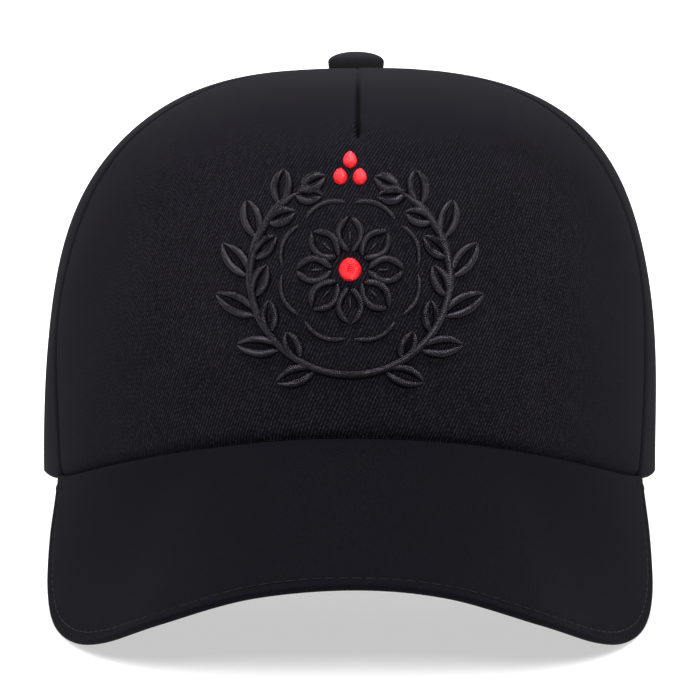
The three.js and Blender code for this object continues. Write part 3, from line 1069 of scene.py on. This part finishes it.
RING_SHARES = (0.06, 0.94)  # of the turn from one petal to the next
ACCENTS = ((*ROSETTE_MIDDLE, 0.0030), (0, 0.0304, 0.0019), (0.0026, 0.0260, 0.0019),
           (-0.0026, 0.0260, 0.0019))

# Satin stitches: how far they slant, how proud each thread's ridge is, the tallest stroke for its
# half width, and how far its foot sinks into the cloth
SATIN_SLANT = 0.35
SATIN_RIDGE = 0.17
SATIN_TALLEST = 1.35
SATIN_SINK = 0.0002
SATIN_ROUNDNESS = 0.75
SATIN_THINNEST = 0.004
STROKE_SIDES = np.sin(np.linspace(-1, 1, 9) * RIGHT_ANGLE)


def arc_stroke(start, end, bulge, half_width, ends):
    """A curved stroke between two points, bowed to the left by the bulge, with tapered ends."""
    share = np.linspace(0, 1, 40)[:, None]
    chord = end - start
    left = np.array([-chord[1], chord[0]]) / np.linalg.norm(chord)
    path = start + chord * share + left * bulge * 4 * share * (1 - share)
    return {"path": path, "half_width": half_width, "ends": ends}


def leaf_strokes(foot, direction, length, spread):
    """A pointed leaf of two satin halves with a groove between them."""
    tip = foot + length * np.array([math.cos(direction), math.sin(direction)])
    taper = (LEAF_TAPER[0] * length, LEAF_TAPER[1] * length)
    return [arc_stroke(foot, tip, side * spread, LEAF_HALF_WIDTH, taper) for side in (1, -1)]


def rosette_strokes():
    """Pointed petals round a bare middle, a vein in each, and an arc from each tip to the next."""
    def at(radius, number):
        angle = RIGHT_ANGLE + number * (2 * math.pi / PETALS)
        return np.array(ROSETTE_MIDDLE) + radius * np.array([math.cos(angle), math.sin(angle)])

    strokes = []
    for k in range(PETALS):
        foot, tip = at(PETAL_REACH[0], k), at(PETAL_REACH[1], k)
        for side in (1, -1):
            bulge = side * PETAL_SPREAD
            strokes.append(arc_stroke(foot, tip, bulge, PETAL_HALF_WIDTH, PETAL_TAPER))
        start, end = at(VEIN_REACH[0], k), at(VEIN_REACH[1], k)
        strokes.append(arc_stroke(start, end, 0, VEIN_HALF_WIDTH, VEIN_TAPER))
        start, end = (at(RING_RADIUS, k + share) for share in RING_SHARES)
        strokes.append(arc_stroke(start, end, RING_BULGE, RING_HALF_WIDTH, RING_TAPER))
    return strokes


def wreath_strokes():
    """A stem up each side, with leaves to its outside and inside and one at its tip."""
    strokes = []
    for side in (1, -1):
        def at(degrees, side=side):
            angle = math.radians(degrees)
            across = side * WREATH_RADII[0] * math.cos(angle)
            return np.array([across, WREATH_RADII[1] * math.sin(angle)])

        def heading(degrees):
            (x, y), (ahead_x, ahead_y) = at(degrees), at(degrees + 2)
            return math.atan2(ahead_y - y, ahead_x - x)

        path = np.array([at(degrees) for degrees in np.linspace(*STEM_TURNS, 60)])
        strokes.append({"path": path, "half_width": STEM_HALF_WIDTH, "ends": STEM_TAPER})
        for number, degrees in enumerate(LEAF_TURNS):
            grown = 1 - LEAF_SHRINK * abs(number - 2)
            for later, way, (turn, length, spread) in (
                (0, -side, OUTER_LEAF), (INNER_LEAF_LATER, side, INNER_LEAF),
            ):
                strokes += leaf_strokes(at(degrees + later), heading(degrees) + way * turn,
                                        length * grown, spread)
        strokes += leaf_strokes(at(STEM_TURNS[1]), heading(STEM_TURNS[1] - 2), *TIP_LEAF)
    return strokes


def dot_stroke(x, y, radius):
    """A round dot of parallel stitches."""
    path = np.array([x, y]) + np.linspace(-1, 1, 30)[:, None] * (0, radius)
    return {"path": path, "half_width": radius, "ends": None}


def crown_behind(x, height):
    """Turn and rise of the crown's front face at a place of the flat plan."""
    turn = np.zeros_like(x)
    lean = lean_at(height)
    for _ in range(20):
        rise = rise_at(turn, height)
        reach = np.cos(rise * RIGHT_ANGLE) ** (2 / profile_at(turn)[0])
        turn = np.arcsin(np.clip((x - lean) / (CROWN_HALF_WIDTH * reach), -1, 1))
    return turn, rise_at(turn, height)


def satin_stroke(stroke, sizes):
    """Points, faces and places of one padded stroke whose ridges are its threads."""
    pitch = sizes.embroidery_thread
    chain, length = resampled(stroke["path"], pitch / 4)
    total = length[-1]
    if stroke["ends"] is None:
        share = np.clip(2 * length / total - 1, -1, 1)
        width = stroke["half_width"] * np.sqrt(np.maximum(1 - share ** 2, SATIN_THINNEST))
    else:
        first, last = stroke["ends"]
        taper = np.minimum(np.minimum(length / first, (total - length) / last), 1)
        swell = np.sin(np.maximum(taper, SATIN_THINNEST) * RIGHT_ANGLE) ** SATIN_ROUNDNESS
        width = stroke["half_width"] * swell
    along = unit(np.gradient(chain, axis=0))
    left = np.stack([-along[:, 1], along[:, 0]], axis=1)
    across = width[:, None] * STROKE_SIDES
    flat = chain[:, None] + left[:, None] * across[..., None]
    turn, rise = crown_behind(flat[..., 0], MOTIF_HEIGHT + flat[..., 1])
    base, normal = crown_point(turn, rise), crown_normal(turn, rise)
    lay = length[:, None] + SATIN_SLANT * across
    thread = 1 + SATIN_RIDGE * np.cos(2 * math.pi * lay / pitch)
    tall = np.minimum(sizes.embroidery_rise, SATIN_TALLEST * width)[:, None]
    arch = np.sqrt(np.maximum(1 - STROKE_SIDES ** 2, 0))
    lift = tall * arch * thread - SATIN_SINK + crown_waves(base, sizes)
    points = base + normal * lift[..., None]
    index = np.arange(lift.size).reshape(lift.shape)
    quads = np.stack(
        [index[:-1], index[1:], np.roll(index[1:], -1, axis=1), np.roll(index[:-1], -1, axis=1)],
        axis=-1,
    ).reshape(-1, 4).tolist()
    caps = [index[0].tolist(), index[-1][::-1].tolist()]
    places = np.stack([lay, across + 0 * lay], axis=-1)
    return points.reshape(-1, 3), quads + caps, places.reshape(-1, 2)


class CAP_OT_embroidery(bpy.types.Operator):
    """Embroider the leaf wreath and rosette on the front panel"""

    bl_idname = "cap.embroidery"
    bl_label = "Embroidery"

    def execute(self, context):
        sizes, colours = context.scene.cap_sizes, context.scene.cap_colours
        dots = [dot_stroke(*accent) for accent in ACCENTS]
        for name, strokes, thread, colour in (
            ("embroidery", wreath_strokes() + rosette_strokes(), "satin thread", colours.thread),
            ("embroidery_accents", dots, "accent thread", colours.accent),
        ):
            parts = [satin_stroke(stroke, sizes) for stroke in strokes]
            joined_object(name, parts, thread_material(thread, colour))
            bpy.ops.object.shade_smooth_by_angle(angle=math.radians(75))
        return {"FINISHED"}


# Twill: heights between which the front's ribs and their painted highlights fade out, a fade that
# leaves a piece even all over, and the depth of the ribs' bump
FRONT_FADE = (0.077, 0.095)
EVEN_FADE = (-1.0, -0.5)
EVEN_RELIEF = 0.0001
PEAK_WALE = 0.8  # of the crown's wale pitch
PEAK_GLOSS = 0.065
PEAK_RELIEF = 0.00015
BUTTON_WALE = 0.6

# How the wales wander and break into yarns, in wale pitches
WALE_DRIFT = 1.2
YARN_LENGTH = 1.6
YARN_SHIFT = 7
# Contrast of the ribs, of the streaks along them, from yarn to yarn and from patch to patch, in the
# bump and in the painted highlights
RIB_SHARE = 0.7
STREAK_SHARE = 0.96
STREAK_BASE = 0.22
STREAK_SCALE = (1600, 400, 1)
YARN_GLINT_SPREAD = 0.25
PATCHINESS = 0.4
# Body of the cloth between which its yarns begin to catch the light and are bright
FLECK_RANGE = (0.36, 1.03)
EVEN_SHARE = 0.16  # of the raised colour, where the ribs have faded
# Ragged edge of the fade up the cloth, the share of the ribs and their painted highlights left
# above it, and the distances across over which they fade to the sides, down to a share
FADE_RAGGED = 0.04
FADE_LEFT = 0.12
SIDE_FADE = (0.060, 0.092)
SIDE_FADE_LEFT = 0.3

# Threads
SEWING_ROUGHNESS = 0.6
SEWING_GLOSS = 0.08
STITCH_ROUNDNESS = 0.45
STITCH_HEIGHT = 0.8  # of its width
THREAD_SHEEN = (0.9, 0.84, 1, 1)


def set_inputs(tree, node, inputs):
    """Give a node's inputs their values, or links from the sockets that stand for values."""
    for key, value in inputs.items():
        if isinstance(value, bpy.types.NodeSocket):
            tree.links.new(value, node.inputs[key])
        else:
            node.inputs[key].default_value = value


def add_node(tree, kind, label="", inputs=None, **settings):
    """A node with its settings, its label and its inputs."""
    node = tree.nodes.new(kind)
    node.label = label
    for key, value in settings.items():
        setattr(node, key, value)
    set_inputs(tree, node, inputs or {})
    return node


def sum_of(tree, operation, *values):
    """The output of a Math node whose inputs are numbers or sockets."""
    node = add_node(tree, "ShaderNodeMath", inputs=dict(enumerate(values)), operation=operation)
    return node.outputs[0]


def sums(tree):
    """The four sums, as functions that each add a Math node to one tree."""
    return [partial(sum_of, tree, kind) for kind in ("ADD", "SUBTRACT", "MULTIPLY", "DIVIDE")]


def ridges(tree, phase):
    """Rounded ridges, one for each whole step of the phase."""
    swing = sum_of(tree, "SINE", sum_of(tree, "MULTIPLY", phase, math.pi))
    return sum_of(tree, "ABSOLUTE", swing)


def new_group(name, inputs, outputs):
    group = bpy.data.node_groups.new(name, "ShaderNodeTree")
    for label, kind, default in inputs:
        socket = group.interface.new_socket(name=label, in_out="INPUT", socket_type=kind)
        if default is not None:
            socket.default_value = default
    for label, kind in outputs:
        group.interface.new_socket(name=label, in_out="OUTPUT", socket_type=kind)
    return group, group.nodes.new("NodeGroupInput").outputs, group.nodes.new("NodeGroupOutput")


def twill_group():
    """Diagonal ribs of short broken yarns, from a place on the cloth in metres. Their colour is
    partly painted light: painted highlights on the yarns that catch the light, and painted shade
    between the ribs.
    """
    if "Twill Weave" in bpy.data.node_groups:
        return bpy.data.node_groups["Twill Weave"]
    tree, given, result = new_group(
        "Twill Weave",
        [
            ("Place", "NodeSocketVector", None),
            ("Wale Pitch", "NodeSocketFloat", 0.0012),
            ("Wale Angle", "NodeSocketFloat", math.radians(66)),
            ("Raised Colour", "NodeSocketColor", (0.04, 0.04, 0.04, 1)),
            ("Deep Colour", "NodeSocketColor", (0.008, 0.008, 0.008, 1)),
            ("Fade Start", "NodeSocketFloat", 1.0),
            ("Fade End", "NodeSocketFloat", 2.0),
        ],
        [
            ("Colour", "NodeSocketColor"),
            ("Height", "NodeSocketFloat"),
            ("Roughness", "NodeSocketFloat"),
        ],
    )
    plus, minus, times, over = sums(tree)
    pitch = given["Wale Pitch"]

    # Ribs, and the yarns that they are broken into
    wander = add_node(tree, "ShaderNodeTexNoise", "Wandering yarns",
                      {"Vector": given["Place"], "Scale": 85, "Detail": 3})
    turned = add_node(
        tree, "ShaderNodeVectorRotate", "Along the wales",
        {"Vector": given["Place"], "Angle": minus(RIGHT_ANGLE, given["Wale Angle"])},
        rotation_type="Z_AXIS",
    ).outputs["Vector"]
    parts = add_node(tree, "ShaderNodeSeparateXYZ", inputs={"Vector": turned}).outputs
    drift = times(minus(wander.outputs["Fac"], 0.5), WALE_DRIFT)
    phase = plus(over(parts["X"], pitch), drift)
    wale = sum_of(tree, "FLOOR", phase)
    shift = add_node(tree, "ShaderNodeTexWhiteNoise", "Start of the yarns", {"W": wale},
                     noise_dimensions="1D")
    yarn_phase = plus(over(parts["Y"], times(pitch, YARN_LENGTH)),
                      times(shift.outputs["Value"], YARN_SHIFT))
    soft_yarn = plus(times(sum_of(tree, "POWER", ridges(tree, yarn_phase), 0.6), 0.6), 0.4)
    ribbed = times(sum_of(tree, "POWER", ridges(tree, phase), 1.5), soft_yarn)

    # Streaks along the ribs, a random share for each yarn of its painted highlight and of its bump,
    # and soft patches
    stretch = add_node(tree, "ShaderNodeVectorMath", "Drawn out along the wales",
                       {0: turned, 1: STREAK_SCALE}, operation="MULTIPLY")
    streaks = add_node(tree, "ShaderNodeTexNoise", "Uneven yarns",
                       {"Vector": stretch.outputs["Vector"], "Scale": 1, "Detail": 2})
    streak = minus(times(streaks.outputs["Fac"], STREAK_SHARE), STREAK_BASE)
    cell = add_node(tree, "ShaderNodeCombineXYZ",
                    inputs={"X": wale, "Y": sum_of(tree, "FLOOR", yarn_phase)})
    chance = add_node(tree, "ShaderNodeTexWhiteNoise", "One value for each yarn",
                      {"Vector": cell.outputs["Vector"]}, noise_dimensions="2D")
    yarn_glint = plus(times(chance.outputs["Value"], YARN_GLINT_SPREAD), 1 - YARN_GLINT_SPREAD)
    body = times(plus(times(ribbed, RIB_SHARE), streak), yarn_glint)
    patches = add_node(tree, "ShaderNodeTexNoise", "Soft patches",
                       {"Vector": given["Place"], "Scale": 60, "Detail": 4}).outputs["Fac"]
    patch = plus(times(patches, PATCHINESS), 1 - PATCHINESS / 2)

    def smooth_range(label, value, start, end, low, high):
        return add_node(
            tree, "ShaderNodeMapRange", label,
            {"Value": value, "From Min": start, "From Max": end, "To Min": low, "To Max": high},
            interpolation_type="SMOOTHSTEP",
        ).outputs["Result"]

    # Fades of the ribs and their painted highlights up the cloth and to its sides, and the colour
    # between the two that are given
    fleck = smooth_range("Catching the light", times(body, patch), *FLECK_RANGE, 0, 1)
    flat = add_node(tree, "ShaderNodeSeparateXYZ", inputs={"Vector": given["Place"]}).outputs
    ragged = times(minus(patches, 0.5), FADE_RAGGED)
    upwards = smooth_range("Ribs and painted highlights fade up the cloth", plus(flat["Y"], ragged),
                           given["Fade Start"], given["Fade End"], 1, FADE_LEFT)
    sideways = smooth_range("Ribs and painted highlights fade to the sides", sum_of(tree, "ABSOLUTE", flat["X"]),
                            *SIDE_FADE, 1, SIDE_FADE_LEFT)
    clear = times(upwards, sideways)
    share = add_node(tree, "ShaderNodeMix", "Even share",
                     {"Factor": clear, "A": EVEN_SHARE, "B": fleck}, data_type="FLOAT")
    mix = add_node(
        tree, "ShaderNodeMix", "Yarn colour",
        {"Factor": share.outputs["Result"], "A": given["Deep Colour"], "B": given["Raised Colour"]},
        data_type="RGBA", clamp_factor=True,
    )
    height = times(body, clear)
    rough = minus(0.95, times(height, 0.12))
    colour = mix.outputs["Result"]
    set_inputs(tree, result, {"Colour": colour, "Height": height, "Roughness": rough})
    return tree


def thread_group():
    """Fine twisted plies across a thread, from a place along and across it in metres, with painted
    shade in the grooves between the plies.
    """
    if "Twisted Thread" in bpy.data.node_groups:
        return bpy.data.node_groups["Twisted Thread"]
    tree, given, result = new_group(
        "Twisted Thread",
        [
            ("Place", "NodeSocketVector", None),
            ("Ply Pitch", "NodeSocketFloat", 0.0003),
            ("Colour", "NodeSocketColor", (0.02, 0.02, 0.02, 1)),
        ],
        [("Colour", "NodeSocketColor"), ("Height", "NodeSocketFloat")],
    )
    plus, _, times, over = sums(tree)
    parts = add_node(tree, "ShaderNodeSeparateXYZ", inputs={"Vector": given["Place"]}).outputs
    ply = ridges(tree, over(plus(parts["X"], parts["Y"]), given["Ply Pitch"]))
    dye = add_node(tree, "ShaderNodeTexNoise", "Uneven dye",
                   {"Vector": given["Place"], "Scale": 700})
    # The plies' crests are painted lighter and the grooves between them darker, painted shade, over
    # uneven dye
    shade = plus(times(ply, 0.3), dye.outputs["Fac"])
    grey = add_node(tree, "ShaderNodeCombineColor",
                    inputs={"Red": shade, "Green": shade, "Blue": shade})
    mix = add_node(tree, "ShaderNodeMix", "Painted ply shade over dye",
                   {"Factor": 0.5, "A": given["Colour"], "B": grey.outputs["Color"]},
                   data_type="RGBA", blend_type="MULTIPLY")
    set_inputs(tree, result, {"Colour": mix.outputs["Result"], "Height": ply})
    return tree


def shaded(name, group, values, strength, distance, shader_values):
    """A material whose Principled shader takes its colour and bump from a node group."""
    if name in bpy.data.materials:
        return bpy.data.materials[name]
    material = bpy.data.materials.new(name)
    material.use_nodes = True
    tree = material.node_tree
    place = add_node(tree, "ShaderNodeUVMap", uv_map="cloth")
    effect = add_node(tree, "ShaderNodeGroup", inputs={"Place": place.outputs["UV"], **values},
                      node_tree=group)
    bump = add_node(tree, "ShaderNodeBump", inputs={
        "Strength": strength, "Distance": distance, "Height": effect.outputs["Height"],
    })
    if "Roughness" in effect.outputs:
        shader_values = {**shader_values, "Roughness": effect.outputs["Roughness"]}
    set_inputs(tree, tree.nodes["Principled BSDF"], {
        "Base Color": effect.outputs["Colour"], "Normal": bump.outputs["Normal"], **shader_values,
    })
    return material


def twill_material(name, raised, deep, pitch, fade=(1.0, 2.0), gloss=0.036, relief=0.0005):
    values = {
        "Wale Pitch": pitch, "Raised Colour": (*raised, 1), "Deep Colour": (*deep, 1),
        "Fade Start": fade[0], "Fade End": fade[1],
    }
    return shaded(name, twill_group(), values, 1.0, relief, {"Specular IOR Level": gloss})


def thread_material(name, colour, roughness=0.3, gloss=0.29):
    shine = {"Roughness": roughness, "Specular IOR Level": gloss, "Specular Tint": THREAD_SHEEN}
    return shaded(name, thread_group(), {"Colour": (*colour, 1)}, 0.5, 0.0001, shine)


# Studio: each lamp's place, aim, width and power, and how the floor glows with the distance
LAMPS = (
    ((0.0, -1.55, 1.4), (0, 0, 0.05), 0.8, 52),
    ((0.0, -0.3, 2.0), (0, 0, 0.1), 0.7, 56),
    ((0.0, 1.6, 1.1), (0, 0, 0.1), 0.6, 19),
    ((-1.5, 0.5, 0.6), (0, 0, 0.06), 0.8, 13),
    ((1.5, 0.5, 0.6), (0, 0, 0.06), 0.8, 13),
)
FLOOR_WIDTH = 14
FLOOR_GLOW = {"From Min": 0.3, "From Max": 1.0, "To Min": 0.56, "To Max": 0.8}
FLOOR_ROUGHNESS = 0.9
FLOOR_GLOSS = 0.1
WORLD_LIGHT = 0.16
WHITE = (1, 1, 1, 1)


def aimed(place, target):
    return (Vector(target) - Vector(place)).to_track_quat("-Z", "Y").to_euler()


class CAP_OT_studio(bpy.types.Operator):
    """Set up the floor, the lights and the camera"""

    bl_idname = "cap.studio"
    bl_label = "Studio"

    def execute(self, context):
        scene = context.scene
        scene.view_settings.view_transform = "Standard"
        deselect()
        bpy.ops.mesh.primitive_plane_add(size=FLOOR_WIDTH, location=(0, 0, 0))
        floor = context.object
        floor.name = "studio_floor"
        floor.data.materials.append(self.floor_material(scene.cap_colours.floor))
        world = bpy.data.worlds.new("studio")
        world.use_nodes = True
        set_inputs(world.node_tree, world.node_tree.nodes["Background"],
                   {"Color": WHITE, "Strength": WORLD_LIGHT})
        scene.world = world
        for place, target, width, power in LAMPS:
            deselect()
            bpy.ops.object.light_add(type="AREA", location=place)
            lamp = context.object
            lamp.data.shape = "DISK"
            lamp.data.size = width
            lamp.data.energy = power
            lamp.rotation_euler = aimed(place, target)
        self.camera(scene)
        return {"FINISHED"}

    def floor_material(self, colour):
        material = bpy.data.materials.new("studio floor")
        material.use_nodes = True
        tree = material.node_tree
        place = add_node(tree, "ShaderNodeTexCoord")
        away = add_node(tree, "ShaderNodeVectorMath", "Distance from the cap",
                        {0: place.outputs["Object"]}, operation="LENGTH")
        glow = add_node(tree, "ShaderNodeMapRange", "Brighter away from the cap",
                        {**FLOOR_GLOW, "Value": away.outputs["Value"]})
        set_inputs(tree, tree.nodes["Principled BSDF"], {
            "Base Color": (*colour, 1), "Roughness": FLOOR_ROUGHNESS,
            "Specular IOR Level": FLOOR_GLOSS, "Emission Color": WHITE,
            "Emission Strength": glow.outputs["Result"],
        })
        return material

    def camera(self, scene):
        target = np.array([0, 0, CAMERA_AIM_HEIGHT])
        back = np.array([0, -math.cos(CAMERA_ELEVATION), math.sin(CAMERA_ELEVATION)])
        place, target = set_down(target + CAMERA_DISTANCE * back), set_down(target)
        data = bpy.data.cameras.new("camera")
        data.sensor_width = SENSOR_MILLIMETRES
        data.lens = CAMERA_DISTANCE / METRES_PER_PIXEL / PHOTO_PIXELS * SENSOR_MILLIMETRES
        data.clip_start, data.clip_end = 0.01, 100
        camera = bpy.data.objects.new("camera", data)
        scene.collection.objects.link(camera)
        camera.location = Vector(place)
        camera.rotation_euler = aimed(place, target)
        scene.camera = camera


class CAP_PT_panel(bpy.types.Panel):
    """Lists the cap's pieces"""

    bl_idname = "CAP_PT_panel"
    bl_label = "Cloth cap"
    bl_space_type = "VIEW_3D"
    bl_region_type = "UI"
    bl_category = "Cap"

    def draw(self, context):
        for operator in OPERATORS:
            self.layout.operator(operator.bl_idname)


OPERATORS = (
    CAP_OT_crown, CAP_OT_strap, CAP_OT_peak, CAP_OT_button, CAP_OT_stitches,
    CAP_OT_embroidery, CAP_OT_studio,
)
CLASSES = (CapSizes, CapColours, *OPERATORS, CAP_PT_panel)


def register():
    for cls in CLASSES:
        bpy.utils.register_class(cls)
    bpy.types.Scene.cap_sizes = PointerProperty(type=CapSizes)
    bpy.types.Scene.cap_colours = PointerProperty(type=CapColours)


def unregister():
    del bpy.types.Scene.cap_colours
    del bpy.types.Scene.cap_sizes
    for cls in reversed(CLASSES):
        bpy.utils.unregister_class(cls)


def main():
    register()
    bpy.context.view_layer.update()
    bpy.ops.cap.crown()
    bpy.ops.cap.strap()
    bpy.ops.cap.peak()
    bpy.ops.cap.button()
    bpy.ops.cap.stitches()
    bpy.ops.cap.embroidery()
    bpy.ops.cap.studio()


if __name__ == "__main__":
    main()
